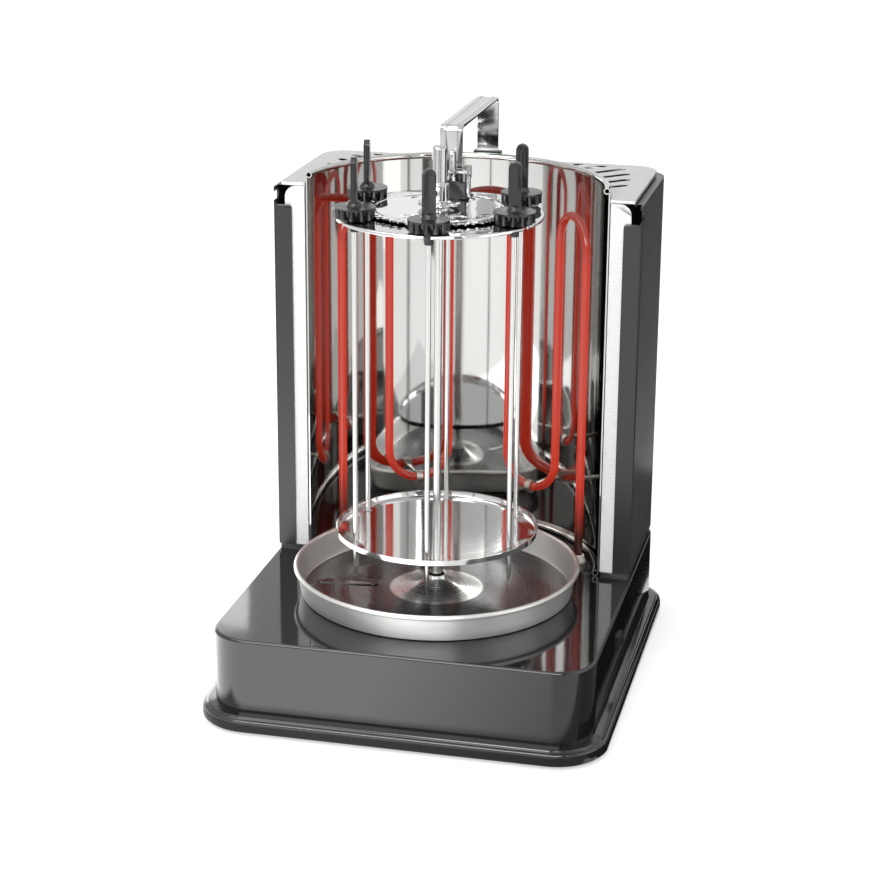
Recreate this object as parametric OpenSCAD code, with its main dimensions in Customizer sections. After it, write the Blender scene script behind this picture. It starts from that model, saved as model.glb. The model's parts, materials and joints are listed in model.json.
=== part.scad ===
// Electric vertical skewer grill: base, drip tray, turning carousel with six geared skewers,
// mirror reflector column with a tube heater, and a lift-off arm that holds the sun gear.
// Front is -Y, up is +Z, the origin is on the table under the middle of the base.

/* [Base] */
// Width of the housing
base_w = 290; // [270:1:310]
// Depth of the housing
base_d = 328; // [310:1:350]
// Corner radius of the housing
base_r = 30; // [20:1:40]
// Height of the top of the base above the table
base_top = 73; // [65:1:85]
// How far the foot moulding stands out past the housing
plinth_out = 10; // [6:0.5:12]
// Wall thickness of the base mouldings
base_wall = 2.5; // [2:0.1:3]
// Height of the feet
foot_h = 3; // [2:0.5:5]

/* [Column] */
// Outer width of the column
col_w = 288; // [280:1:290]
// Distance of the front face of the column behind the middle of the base
col_front = 24; // [20:1:30]
// Distance of the back of the column behind the middle of the base
col_rear = 160; // [155:1:163]
// Corner radius at the back of the column
col_r = 22; // [14:1:28]
// Height of the top edge of the side panels
panel_top = 376; // [360:1:390]
// Width of the black strip folded round the front edge
strip_w = 14; // [10:1:18]
// Height of the top end of the black strip
strip_top = 359; // [345:1:365]
// Height of the vent plate's upper face
vent_z = 374; // [360:0.5:375]
// Sheet thickness of the panels
sheet = 1.5; // [1:0.1:2]

/* [Reflector] */
// Outer radius of the curved mirror sheet
refl_r = 119.5; // [116:0.5:120]
// Distance of the mirror's centre of curvature behind the middle of the base
refl_cy = 17; // [12:0.5:20]
// Height of the axis of the upper rolled rim
refl_top = 383; // [378:1:390]
// Radius of the rolled rims
rim_r = 2.5; // [2:0.1:3]

/* [Heater] */
// Radius of the heater tube
tube_r = 3.35; // [3:0.05:4]
// Radius of the circle that the heater's legs stand on
heater_r = 104; // [100:0.5:105]
// Angle between neighbouring legs
leg_step = 28; // [24:1:28]
// Height of the top of the upper bends
heater_top = 355; // [330:1:360]
// Height of the bottom of the lower bends
heater_low = 112; // [105:1:140]

/* [Carousel] */
// Distance of the carousel's axis in front of the middle of the base
axis_front = 28; // [24:1:30]
// Height of the upper face of the carrier disc
carrier_z = 372.5; // [360:0.1:374]
// Height of the upper face of the lower plate
plate_z = 122; // [118:0.5:130]
// Outer radius of the lower plate
plate_r = 78; // [77:0.5:80]
// Radius of the centre shaft
shaft_r = 3; // [2.5:0.1:4]
// Radius of the drive spindle
spindle_r = 2.5; // [2:0.1:2.5]
// Angle that the carousel rests at
rest_turn = 37; // [0:1:59]

/* [Gears] */
// Gear module
gear_m = 2.25; // [2:0.05:2.4]
// Teeth on the sun gear
sun_teeth = 48; // [48]
// Teeth on each pinion
pinion_teeth = 12; // [12]
// Pressure angle
gear_pa = 25; // [20:1:27]
// Play between meshing teeth at the pitch circle
backlash = 0.5; // [0.3:0.05:0.8]

/* [Skewers] */
// Radius of the skewer rod
rod_r = 2; // [1.5:0.1:2.5]
// Height of the skewer's point
tip_z = 93; // [88:1:100]
// Height of the paddle handle above the pinion's disc
paddle_h = 36; // [30:1:38]
// Width of the paddle handle
paddle_w = 9.4; // [8:0.2:11]

/* [Drip tray] */
// Outer radius of the tray's rim
tray_r = 111; // [105:0.5:112]
// Height of the tray's rim above the base
tray_h = 22; // [18:1:26]

/* [Support arm] */
// Height of the top of the arch
arm_top = 430; // [426:1:440]
// Width of the strap
arm_w = 17; // [14:0.5:20]
// Thickness of the strap
arm_t = 2; // [1.5:0.1:2.5]
// Distance of the front leg behind the middle of the base
arm_front = 10; // [8:0.5:12]

/* [Hidden] */
$fn = 48;
axis_y = -axis_front;
plinth_low = foot_h;
body_low = plinth_low + 12.5;
col_low = base_top + 4.5;
flange_in = refl_r + 0.2;
// Where the side panels end and the rear casing starts
seam = 130;
sun_r = gear_m * sun_teeth / 2;
pinion_r = gear_m * pinion_teeth / 2;
skewer_r = sun_r + pinion_r;
drum_z = carrier_z + 1.4;
drum_top = carrier_z + 8.6;
disc_top = drum_top + 1.3;
sun_z = carrier_z + 1.6;
sun_top = sun_z + 1.5;
hub_z = carrier_z + 5.8;
collar_r = 6.5;
seat_r = collar_r + 0.1;
clip_low = 389.3;
clip_x = 6.4;
arm_rear = refl_cy + refl_r + 4.7;
socket_top = 386;
foot_x = base_w / 2 - 26;
foot_y = base_d / 2 - 26;
rocker_y = -31.5;
rocker_z = 45;
sleeve_low = base_top + 12.8;
spindle_top = 112.5;
shaft_top = 408;
motor_low = 43;
motor_top = 62;
pin_top = 411.4;
// Gap round the spindle in its bearing
running_fit = 0.06;
// Turns of the paddles, each a whole number of pinion teeth
paddle_turns = [150, 150, 120, 60, 120, 30];

// ---- Shared shapes ----

// Rounded rectangle, centred
module rrect(w, d, r) {
  square([w - 2 * r, d], center = true);
  square([w, d - 2 * r], center = true);
  for (sx = [-1, 1], sy = [-1, 1])
    translate([sx * (w / 2 - r), sy * (d / 2 - r)]) circle(r);
}

// Runs a profile round a rounded rectangle; in the profile x points outwards and y up
module frame_sweep(w, d, r) {
  for (k = [0 : 3]) {
    half_w = k % 2 == 0 ? w / 2 : d / 2;
    half_d = k % 2 == 0 ? d / 2 : w / 2;
    rotate([0, 0, 90 * k]) {
      translate([half_w, half_d - r, 0]) rotate([90, 0, 0])
        linear_extrude(2 * (half_d - r)) children();
      translate([half_w - r, half_d - r, 0]) rotate_extrude(angle = 90)
        translate([r, 0]) children();
    }
  }
}

// Rectangular plate between two corners
module box(low, high) {
  translate(low) cube(high - low);
}

// Moves to the axis of the carousel
module at_axis() {
  translate([0, axis_y, 0]) children();
}

// Moves to skewer station k, with x pointing away from the axis
module at_station(k) {
  at_axis() rotate([0, 0, rest_turn + 60 * k]) translate([skewer_r, 0, 0]) children();
}

// Mirrors a right-hand shape to the left
module left() {
  mirror([1, 0, 0]) children();
}

// ---- Base ----

module base_plinth() {
  out = plinth_out;
  low = plinth_low;
  in = base_wall;
  // Stepped and beaded skirt, with a ledge inside that the bottom cover is held against
  color("#3c3c3c")
  frame_sweep(base_w, base_d, base_r)
    polygon([
      [-in, low], [out - 1.2, low], [out, low + 1.2], [out, low + 7.6], [out - 0.5, low + 9.2],
      [out - 1.6, low + 9.8], [out - 3.2, low + 9.8], [out - 3.6, low + 11.2],
      [out - 4.6, low + 11.8], [1.2, body_low - 0.7], [0, body_low], [-in, body_low],
      [-in, low + 5.5], [-in - 8, low + 5.5], [-in - 8, low + 3], [-in, low + 3]
    ]);
}

module base_housing() {
  edge = 2.2;
  in = base_wall;
  color("#4a4a4a")
  difference() {
    union() {
      // Walls with a rounded upper edge
      frame_sweep(base_w, base_d, base_r) {
        translate([-in, body_low]) square([in, base_top - edge - body_low]);
        translate([-edge, base_top - edge]) intersection() {
          circle(edge);
          square(edge);
        }
        translate([-in, base_top - edge]) square([in - edge, edge]);
      }
      // Top
      translate([0, 0, base_top - in]) linear_extrude(in)
        rrect(base_w - 2 * edge - 0.2, base_d - 2 * edge - 0.2, base_r - edge - 0.1);
    }
    // Seat of the spindle bearing
    at_axis() translate([0, 0, base_top - 5]) cylinder(h = 10, r = 8);
    // Holes for the ends of the heater
    for (s = [-1, 1]) heater_foot(s) translate([0, 0, base_top - 5]) cylinder(h = 10, r = 4.2);
    // Cut-out of the rocker switch
    box([base_w / 2 - 5, rocker_y - 6.7, rocker_z - 4.8],
        [base_w / 2 + 5, rocker_y + 6.7, rocker_z + 4.8]);
    // Cable inlet
    translate([-90, base_d / 2 + 5, 30]) rotate([90, 0, 0]) cylinder(h = 10, r = 6);
  }
}

module bottom_cover() {
  slots = 9;
  color("#2e2e2e")
  difference() {
    translate([0, 0, plinth_low + 1]) linear_extrude(2)
      rrect(base_w - 2 * base_wall, base_d - 2 * base_wall, base_r - base_wall);
    // Air slots under the motor
    for (i = [0 : slots - 1], s = [-1, 1])
      box([s * 34 - 26, axis_y - 36 + 9 * i, plinth_low], [s * 34 + 26, axis_y - 32 + 9 * i, body_low]);
    // Seats of the feet
    for (k = [0 : 3]) at_foot(k) cylinder(h = 20, r = 3);
  }
}

// Moves to foot k, numbered round from the front left
module at_foot(k) {
  translate([(k == 0 || k == 3 ? -1 : 1) * foot_x, (k < 2 ? -1 : 1) * foot_y, 0]) children();
}

// Rubber foot with a push-in stem
module foot(k) {
  color("#1c1c1c") at_foot(k) rotate_extrude()
    polygon([
      [0, 0], [8.4, 0], [9, 0.6], [9.4, plinth_low + 1], [3, plinth_low + 1],
      [3, plinth_low + 3], [3.6, plinth_low + 3.4], [2.6, plinth_low + 5], [0, plinth_low + 5]
    ]);
}

module cable_gland() {
  color("#202020")
  translate([-90, base_d / 2, 30]) rotate([90, 0, 0])
  rotate_extrude()
    polygon([
      [3.2, -8], [5.4, -8], [6.4, -6.5], [6.4, -4], [8.2, -3.5], [8.2, 0], [6, 0], [6, base_wall],
      [7.4, base_wall + 0.2], [7.4, base_wall + 3], [5.6, base_wall + 5], [3.2, base_wall + 5]
    ]);
}

module switch_bezel() {
  x = base_w / 2;
  color("#1a1a1a")
  difference() {
    union() {
      box([x, rocker_y - 8, rocker_z - 5.6], [x + 1.6, rocker_y + 8, rocker_z + 5.6]);
      box([x - 11, rocker_y - 6.6, rocker_z - 4.7], [x + 0.1, rocker_y + 6.6, rocker_z + 4.7]);
    }
    // Well that the rocker tilts in
    box([x - 6, rocker_y - 6.2, rocker_z - 4], [x + 3, rocker_y + 6.2, rocker_z + 4]);
    // Pivot bore
    translate([x, rocker_y, rocker_z - 4.5]) cylinder(h = 9, r = 1.06);
  }
}

module switch_rocker() {
  color("#101010")
  translate([base_w / 2, rocker_y, rocker_z]) rotate([0, 0, -8]) {
    translate([0, 0, -3.8]) linear_extrude(7.6)
      polygon([[-4, -3], [0.6, -5.7], [2.4, -5.7], [1.5, 0], [2.4, 5.7], [0.6, 5.7], [-4, 3]]);
    translate([0, 0, -4.4]) cylinder(h = 8.8, r = 1);
  }
}

// ---- Drive ----

module drive_motor() {
  color("#9a9a9a") at_axis()
  difference() {
    union() {
      // Can, rear cover, bearing neck and mounting ears
      translate([0, 0, motor_low]) cylinder(h = motor_top - motor_low, r = 25);
      translate([0, 0, motor_low - 2.5]) cylinder(h = 2.5, r = 19);
      translate([0, 0, motor_top]) cylinder(h = 2.5, r = 6.5);
      translate([0, 0, motor_top - 1.5]) linear_extrude(1.5) difference() {
        rrect(68, 16, 7.9);
        for (s = [-1, 1]) translate([s * 28.5, 0]) circle(2.1);
      }
    }
    // Bore of the output sleeve
    translate([0, 0, motor_low + 9]) cylinder(h = 20, r = spindle_r + running_fit);
  }
}

module motor_bracket() {
  color("#b0b0a8") at_axis() {
    difference() {
      box([-38, -20, motor_top], [38, 20, motor_top + 1.5]);
      translate([0, 0, motor_top - 2]) cylinder(h = 6, r = 9);
    }
    for (s = [-1, 1])
      translate([s * 37.25, 0, 0]) box([-0.75, -20, motor_top], [0.75, 20, base_top - base_wall]);
    for (s = [-1, 1])
      translate([s * 42.5, 0, 0])
        box([-5.5, -20, base_top - base_wall - 1.5], [5.5, 20, base_top - base_wall]);
  }
}

module spindle_bearing() {
  bore = spindle_r + running_fit;
  color("#b08d4a") at_axis() rotate_extrude()
    polygon([
      [bore, base_top - 7], [7, base_top - 7], [7.9, base_top - 6.2], [8, base_top],
      [12, base_top], [12, base_top + 1.8], [8, base_top + 2.4], [6.5, base_top + 6],
      [bore, base_top + 6]
    ]);
}

module drive_spindle() {
  color("#c0c0c0") at_axis() rotate_extrude()
    polygon([
      [0, motor_low + 9.5], [spindle_r, motor_low + 9.5], [spindle_r, spindle_top - 1.5],
      [spindle_r - 1, spindle_top], [0, spindle_top]
    ]);
}

module terminal_block() {
  color("#d8d4c8") translate([-90, 118, 0])
  difference() {
    box([-17, -9, plinth_low + 3], [17, 9, plinth_low + 19]);
    for (i = [-1 : 1]) translate([i * 10, 0, plinth_low + 12]) cylinder(h = 20, r = 3.4);
  }
}

module thermal_cutout() {
  color("#cfcfcf") translate([64, 116, base_top - base_wall]) mirror([0, 0, 1]) {
    linear_extrude(1.2) difference() {
      rrect(32, 12, 5.9);
      for (s = [-1, 1]) translate([s * 12, 0]) circle(1.8);
    }
    translate([0, 0, 1.2]) cylinder(h = 9, r = 8);
  }
}

// ---- Drip tray ----

module drip_tray() {
  z = base_top;
  t = 1;
  floor_r = tray_r - 8;
  rim = 1.9;
  wall_r = tray_r - 2 * rim;
  color("#c9c9c9") at_axis() {
    rotate_extrude($fn = 96) {
      // Floor, wall and flared middle cone
      polygon([
        [6.3, z + 12.4], [7.4, z + 12.4], [8.6, z + 9.6], [11.2, z + 7], [15.5, z + 4.6],
        [21.5, z + 2.8], [28, z + 1.7], [36, z + t], [floor_r, z + t], [floor_r + 1.2, z + 1.9],
        [wall_r, z + tray_h - rim], [wall_r + 1.2, z + tray_h - rim], [floor_r + 2.4, z + 1.2],
        [floor_r + 0.6, z], [35, z], [27.4, z + 0.7], [20.7, z + 1.9], [14.6, z + 3.8],
        [10.2, z + 6.2], [7.6, z + 9], [6.3, z + 11.4]
      ]);
      // Rolled rim
      translate([tray_r - rim, z + tray_h - rim]) difference() {
        circle(rim, $fn = 32);
        circle(rim - 0.9, $fn = 32);
      }
    }
    // Pressed pad and half ring in the floor
    rotate([0, 0, 186]) translate([70, 0, z + 0.5]) linear_extrude(1.4) rrect(50, 11, 5.4);
    rotate([0, 0, 310]) translate([56, 0, z + t]) rotate([0, 0, -90])
      rotate_extrude(angle = 180) translate([10, 0]) intersection() {
        circle(1.6, $fn = 24);
        translate([-2, -0.5]) square([4, 3]);
      }
  }
}

// ---- Column ----

// Outline of the column from above, drawn in by a distance
module column_outline(inset) {
  w = col_w / 2 - inset;
  r = col_r - inset;
  translate([-w, col_front]) square([2 * w, col_rear - inset - r - col_front]);
  translate([-w + r, col_front]) square([2 * (w - r), col_rear - inset - col_front]);
  for (s = [-1, 1]) translate([s * (w - r), col_rear - inset - r]) circle(r);
}

// Space in front of and round the reflector, cut out of plates that lie across the column
module reflector_space(r) {
  translate([0, refl_cy]) circle(r, $fn = 96);
  translate([-r, refl_cy - 60]) square([2 * r, 85]);
}

module column_base() {
  color("#242424") translate([0, 0, base_top]) linear_extrude(col_low - base_top)
    difference() {
      column_outline(sheet);
      reflector_space(refl_r + 1);
    }
}

module side_panel() {
  x = col_w / 2;
  color("#404242")
  difference() {
    union() {
      // Side wall
      box([x - sheet, col_front, col_low], [x, seam, panel_top]);
      // Front return with a rounded inner corner at its top
      translate([0, col_front + sheet, 0]) rotate([90, 0, 0]) linear_extrude(sheet) {
        translate([x - strip_w, col_low]) square([strip_w, strip_top - col_low - 3]);
        translate([x - strip_w + 3, strip_top - 3]) circle(3);
        translate([x - strip_w + 3, strip_top - 4]) square([strip_w - 3, 4]);
      }
      // Hem along the top edge
      box([x - 6, col_front + 8, panel_top - sheet], [x, seam, panel_top]);
      // Inner lip that the vent plate rests on
      box([x - 7, col_front + 8, vent_z - 2.7], [x, seam, vent_z - 1.2]);
    }
    // Round corner relief
    translate([x - 5, col_front + 8, strip_top + 6.4]) rotate([90, 0, 0]) cylinder(h = 16, r = 6);
  }
}

module side_panel_right() {
  side_panel();
}

module side_panel_left() {
  left() side_panel();
}

module front_flange() {
  x = col_w / 2 - sheet;
  y = col_front + sheet;
  top = panel_top - 2;
  corner = 9;
  color("#d4d4d4") {
    // Bright face behind the strip, with its rounded outer corner
    translate([0, y + 1, 0]) rotate([90, 0, 0]) linear_extrude(1) {
      translate([flange_in, col_low]) square([x - flange_in, top - corner - col_low]);
      translate([flange_in, col_low]) square([x - flange_in - corner, top - col_low]);
      translate([x - corner, top - corner]) circle(corner);
    }
    // Inner lip folded back along the reflector
    box([flange_in, y, col_low], [flange_in + 1, y + 9, top]);
  }
}

module front_flange_right() {
  front_flange();
}

module front_flange_left() {
  left() front_flange();
}

module rear_casing() {
  rows = 7;
  color("#3a3c3c")
  difference() {
    union() {
      translate([0, 0, col_low]) linear_extrude(panel_top - col_low) difference() {
        column_outline(0);
        column_outline(sheet);
      }
      // Hem along the top edge
      translate([0, 0, panel_top - sheet]) linear_extrude(sheet) difference() {
        column_outline(0);
        column_outline(6);
      }
      // Lip that the vent plate rests on
      translate([0, 0, vent_z - 2.7]) linear_extrude(1.5) difference() {
        column_outline(sheet / 2);
        column_outline(7);
      }
    }
    // Open front, where the side panels carry on
    box([-200, 0, 0], [200, seam, 500]);
    // Louvres, in two columns low and high on the back
    for (s = [-1, 1], i = [0 : rows - 1], z0 = [96, 290])
      box([s * 50 - 34, col_rear - 8, z0 + 9 * i], [s * 50 + 34, col_rear + 8, z0 + 4 + 9 * i]);
  }
}

module top_vent_plate() {
  slot_angle = 50;
  // Length of each slot and how far it lies from the front one, counted from the side
  slot_lengths = [14, 26, 34, 31, 14];
  slot_x = [113, 109, 104, 95.6, 80.4];
  slot_y = [87, 107, 124, 140.5, 147];
  color("#bdbdbd")
  difference() {
    union() {
      translate([0, 0, vent_z - 1.2]) linear_extrude(1.2) difference() {
        intersection() {
          column_outline(sheet);
          translate([-200, col_front + 5]) square([400, 200]);
        }
        reflector_space(refl_r + 2);
      }
      // Edge folded down at the front of each side
      for (s = [-1, 1])
        translate([s * (col_w / 2 - 14), 0, 0])
          box([-7.5, col_front + 5, vent_z - 9], [7, col_front + 6.2, vent_z - 0.5]);
    }
    // Slanting air slots in the rear corners
    for (s = [0, 1], i = [0 : len(slot_lengths) - 1])
      mirror([s, 0, 0]) translate([slot_x[i], slot_y[i], vent_z - 4]) rotate([0, 0, slot_angle])
        linear_extrude(8) rrect(slot_lengths[i], 4.4, 2.1);
    // Notch for the arm's socket
    box([-11.2, refl_cy + refl_r, vent_z - 4], [11.2, arm_rear + 5.4, vent_z + 4]);
  }
}

module reflector() {
  t = 1;
  low = base_top + rim_r + 0.4;
  rim_x = refl_r - rim_r;
  // Angle at which the sheet ends, level with the flanges
  end_a = asin((col_front + sheet + 1 - refl_cy) / refl_r);
  color("#e2e2e2") translate([0, refl_cy, 0]) rotate([0, 0, end_a])
    rotate_extrude(angle = 180 - 2 * end_a, $fn = 96) {
      translate([refl_r - t, low]) square([t, refl_top - low]);
      // Hollow rims rolled inwards
      for (z = [low, refl_top]) translate([rim_x, z]) difference() {
        circle(rim_r, $fn = 32);
        circle(rim_r - 0.8, $fn = 32);
      }
    }
}

// ---- Heater ----

// Moves to the leg at an angle, counted from straight back towards the right
module at_leg(a) {
  translate([heater_r * sin(a), refl_cy + heater_r * cos(a), 0]) rotate([0, 0, -a]) children();
}

// Moves to the end of the heater on one side
module heater_foot(s) {
  at_leg(s * 2.5 * leg_step) children();
}

module heater() {
  // The legs reach a little way into the bends, which are a hair thinner there
  lap = 0.1;
  bend_tube = tube_r - 0.05;
  bend = heater_r * sin(leg_step / 2);
  top_c = heater_top - bend - tube_r;
  low_c = heater_low + bend + tube_r;
  color("#d8402c") {
    // Legs; the outer two run down through the base
    for (i = [0 : 5])
      at_leg((i - 2.5) * leg_step) {
        z0 = i == 0 || i == 5 ? base_top - 8 : low_c;
        translate([0, 0, z0 - lap]) cylinder(h = top_c - z0 + 2 * lap, r = tube_r, $fn = 28);
      }
    // Bends between them, upper and lower by turns
    for (i = [0 : 4]) {
      a = (i - 2) * leg_step;
      up = i % 2 == 0;
      d = heater_r * cos(leg_step / 2);
      translate([d * sin(a), refl_cy + d * cos(a), up ? top_c : low_c])
        rotate([0, 0, -a]) rotate([90, 0, 0]) rotate([0, 0, up ? 0 : 180])
          rotate_extrude(angle = 180) translate([bend, 0]) circle(bend_tube, $fn = 28);
    }
  }
}

module heater_ferrule(s) {
  color("#d8d0c0") heater_foot(s) rotate_extrude()
    polygon([
      [tube_r + 0.05, base_top - 6], [4.1, base_top - 6], [4.1, base_top], [5.6, base_top],
      [5.6, base_top + 2.4], [4.8, base_top + 3.2], [4.8, base_top + 6.4], [4.4, base_top + 7],
      [tube_r + 0.05, base_top + 7]
    ]);
}

module heater_ferrule_left() {
  heater_ferrule(-1);
}

module heater_ferrule_right() {
  heater_ferrule(1);
}

// Ring round a lower bend on a stud from the reflector
module heater_clip(s) {
  a = s * leg_step;
  d = heater_r * cos(leg_step / 2);
  color("#b8b8b8")
  translate([0, refl_cy, heater_low + tube_r]) rotate([0, 0, -a]) translate([0, d, 0]) {
    rotate([0, 90, 0]) translate([0, 0, -2.5]) linear_extrude(5) difference() {
      circle(5.2);
      circle(tube_r + 0.3);
    }
    translate([0, 5, 0]) rotate([-90, 0, 0]) cylinder(h = refl_r - 1.1 - d - 5, r = 1.8);
  }
}

module heater_clip_left() {
  heater_clip(-1);
}

module heater_clip_right() {
  heater_clip(1);
}

// ---- Carousel ----

module centre_shaft() {
  r = shaft_r;
  color("#c4c4c4") at_axis() rotate_extrude()
    polygon([
      [spindle_r + 0.04, sleeve_low], [4.2, sleeve_low], [4.8, sleeve_low + 0.8],
      [4.8, plate_z - 2.2], [r, plate_z - 2.2], [r, shaft_top], [0, shaft_top],
      [0, spindle_top + 0.5], [spindle_r + 0.04, spindle_top + 0.5]
    ]);
}

module lower_plate() {
  color("#cccccc") at_axis()
  difference() {
    rotate_extrude($fn = 96)
      polygon([
        [shaft_r, plate_z - 2.2], [9, plate_z - 2.2], [9.6, plate_z - 1], [plate_r - 2.4, plate_z - 1],
        [plate_r - 0.2, plate_z], [plate_r, plate_z + 4], [plate_r - 1, plate_z + 4],
        [plate_r - 1.4, plate_z + 0.8], [plate_r - 2.6, plate_z], [shaft_r, plate_z]
      ]);
    for (k = [0 : 5]) rotate([0, 0, rest_turn + 60 * k]) translate([skewer_r, 0, plate_z - 5])
      cylinder(h = 10, r = rod_r + 0.8);
  }
}

module carrier_disc() {
  z = carrier_z;
  color("#cccccc") at_axis()
  difference() {
    // Disc with its edge turned down
    rotate_extrude($fn = 96)
      polygon([
        [shaft_r, z - 1.2], [plate_r - 2.2, z - 1.2], [plate_r - 1.2, z - 2.8], [plate_r - 0.2, z - 2.8],
        [plate_r, z - 2.4], [plate_r, z - 1], [plate_r - 1, z], [shaft_r, z]
      ]);
    for (k = [0 : 5]) rotate([0, 0, rest_turn + 60 * k]) {
      // Seat of the pinion's collar and the slot that the rod comes in through
      translate([skewer_r, 0, z - 5]) cylinder(h = 10, r = seat_r);
      box([skewer_r, -rod_r - 0.5, z - 5], [plate_r + 5, rod_r + 0.5, z + 5]);
    }
  }
}

module hub_spacer() {
  color("#a8a8a8") at_axis() translate([0, 0, carrier_z]) difference() {
    cylinder(h = hub_z - carrier_z, r = 8);
    translate([0, 0, -1]) cylinder(h = 20, r = shaft_r);
  }
}

module hub_cap() {
  z = hub_z;
  color("#dadada") at_axis()
  difference() {
    rotate_extrude()
      polygon([
        [shaft_r, z], [15.4, z], [16, z + 0.6], [16, z + 1.4], [14.6, z + 2.2], [8.4, z + 2.6],
        [7.4, z + 3.6], [7.4, z + 15], [6.6, z + 15.8], [5.6, z + 16.4], [5.6, z + 41.4],
        [4.8, z + 42.9], [3.2, z + 43.7], [0, z + 43.7], [0, shaft_top], [shaft_r, shaft_top]
      ]);
    // Small window in the collar
    translate([0, -7.4, z + 9.2]) rotate([90, 0, 0]) translate([0, 0, -2])
      linear_extrude(5) rrect(4, 6.4, 1.5);
  }
}

// ---- Gears ----

// Angle of an involute's point above its start, at radius r over base radius rb
function involute_angle(rb, r) = let (a = acos(min(1, rb / r))) tan(a) * 180 / PI - a;

// Half of the angle that a tooth takes at radius r
function half_tooth(teeth, r) = let (
    rp = gear_m * teeth / 2,
    rb = rp * cos(gear_pa),
    play = backlash / 4 / rp * 180 / PI
  )
  90 / teeth - play + involute_angle(rb, rp) - involute_angle(rb, max(r, rb));

// Outline of a spur gear with a tooth in the middle of angle zero
module gear_outline(teeth) {
  rp = gear_m * teeth / 2;
  rb = rp * cos(gear_pa);
  root = rp - 0.95 * gear_m;
  tip = rp + 0.75 * gear_m;
  // Radii up one flank, and the same list down the other
  rising = root < rb ? [root, rb, rp, tip] : [root, rp, tip];
  falling = [for (i = [len(rising) - 1 : -1 : 0]) rising[i]];
  polygon([
    for (i = [0 : teeth - 1]) let (c = 360 / teeth * i)
      each concat(
        [for (r = rising) let (a = c - half_tooth(teeth, r)) r * [cos(a), sin(a)]],
        [for (r = falling) let (a = c + half_tooth(teeth, r)) r * [cos(a), sin(a)]]
      )
  ]);
}

module sun_gear() {
  color("#d0d0d0") at_axis()
  difference() {
    translate([0, 0, sun_z]) rotate([0, 0, rest_turn + 180 / sun_teeth])
      linear_extrude(sun_top - sun_z) gear_outline(sun_teeth);
    // Bore that turns on the hub spacer
    translate([0, 0, sun_z - 1]) cylinder(h = 10, r = 8.06);
    // Hole for the peg of the arm's foot
    translate([clip_x, arm_front - axis_y, sun_z - 1]) cylinder(h = 10, r = 2.7);
    // Pressed groove inside the teeth, and round dimples
    translate([0, 0, sun_top - 0.5]) rotate_extrude($fn = 96) translate([47, 0]) square([1.6, 2]);
    for (a = [67, 127, 247, 307]) rotate([0, 0, a]) translate([36, 0, sun_top - 0.5])
      cylinder(h = 2, r = 6.5);
  }
}

// ---- Skewers ----

module skewer(k) {
  color("#b9b9b9") at_station(k) rotate_extrude($fn = 24)
    polygon([[0, tip_z], [rod_r, tip_z + 9], [rod_r, drum_z + 14], [0, drum_z + 14]]);
}

module pinion(k) {
  low = carrier_z - 9;
  color("#262626") at_station(k)
  difference() {
    union() {
      // Stem, collar in its seat and neck
      rotate_extrude()
        polygon([
          [0, low], [3, low], [3.4, low + 0.6], [3.4, low + 5.4], [collar_r, low + 6.2],
          [collar_r, carrier_z + 0.9], [5.2, drum_z], [5.2, drum_z + 1], [0, drum_z + 1]
        ]);
      // Toothed drum and the disc over it
      translate([0, 0, drum_z]) linear_extrude(drum_top - drum_z) gear_outline(pinion_teeth);
      translate([0, 0, drum_top]) cylinder(h = disc_top - drum_top, r = pinion_r + 2);
      // Handle: flared foot and flat paddle
      rotate([0, 0, paddle_turns[k]]) {
        translate([0, 0, disc_top]) rotate_extrude()
          polygon([[0, 0], [6.2, 0], [5.4, 1.4], [4.4, 3.4], [0, 6]]);
        translate([0, 2, disc_top]) rotate([90, 0, 0]) linear_extrude(4) {
          translate([-paddle_w / 2, 0]) square([paddle_w, paddle_h - paddle_w / 2]);
          translate([0, paddle_h - paddle_w / 2]) circle(paddle_w / 2);
        }
      }
    }
    // Socket that holds the rod
    translate([0, 0, low - 1]) cylinder(h = drum_z + 15 - low, r = rod_r);
  }
}

// ---- Support arm ----

// Side view of the arch, y across and z up
module arm_profile(inset) {
  y0 = arm_front + inset;
  y1 = arm_rear + arm_t - inset;
  top = arm_top - inset;
  r = 5 - inset;
  translate([y0, 300]) square([y1 - y0, top - r - 300]);
  translate([y0 + r, 300]) square([y1 - y0 - 2 * r, top - 300]);
  for (y = [y0 + r, y1 - r]) translate([y, top - r]) circle(r);
}

// Stands a side view up and gives it a width, centred
module across(w) {
  translate([-w / 2, 0, 0]) rotate([90, 0, 90]) linear_extrude(w) children();
}

module arm_strap() {
  end = 403.6;
  color("#d6d6d6")
  difference() {
    union() {
      across(arm_w) difference() {
        arm_profile(0);
        arm_profile(arm_t);
      }
      // Lengthwise ribs
      for (s = [-1, 1]) translate([s * 4.6, 0, 0]) across(1.6) difference() {
        arm_profile(-0.6);
        arm_profile(arm_t);
      }
    }
    // End of the front leg, down to a tongue that sits in the clip
    box([-20, 0, 290], [20, 80, clip_low + 4]);
    box([-20, 0, 290], [0.8, 80, end]);
    box([-20, 0, 290], [20, arm_front, end]);
    // End of the rear leg
    box([-20, 80, 290], [20, 160, 352]);
    // The ribs stop above the socket
    box([-20, arm_rear + arm_t, 340], [20, arm_rear + arm_t + 2, socket_top + 2]);
  }
}

module arm_clip() {
  y = arm_front - 7;
  color("#dddddd")
  difference() {
    translate([clip_x - 7.3, 0, 0]) rotate([90, 0, 90]) linear_extrude(14.6)
      polygon([
        [y, clip_low], [y + 18, clip_low], [y + 18, clip_low + 9.2],
        [y + 2, clip_low + 7.5], [y, clip_low + 6.2]
      ]);
    // Slot that the strap's tongue sits in
    box([0.8, arm_front, clip_low + 4], [arm_w / 2, arm_front + arm_t, 404]);
    // Slit in the front
    box([4.2, y - 1, clip_low - 1], [5.4, y + 1.5, clip_low + 9]);
    // Hole that the pin stands in
    translate([1.7, arm_front - 4, clip_low + 5.6]) cylinder(h = 10, r = 2.4);
  }
}

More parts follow.
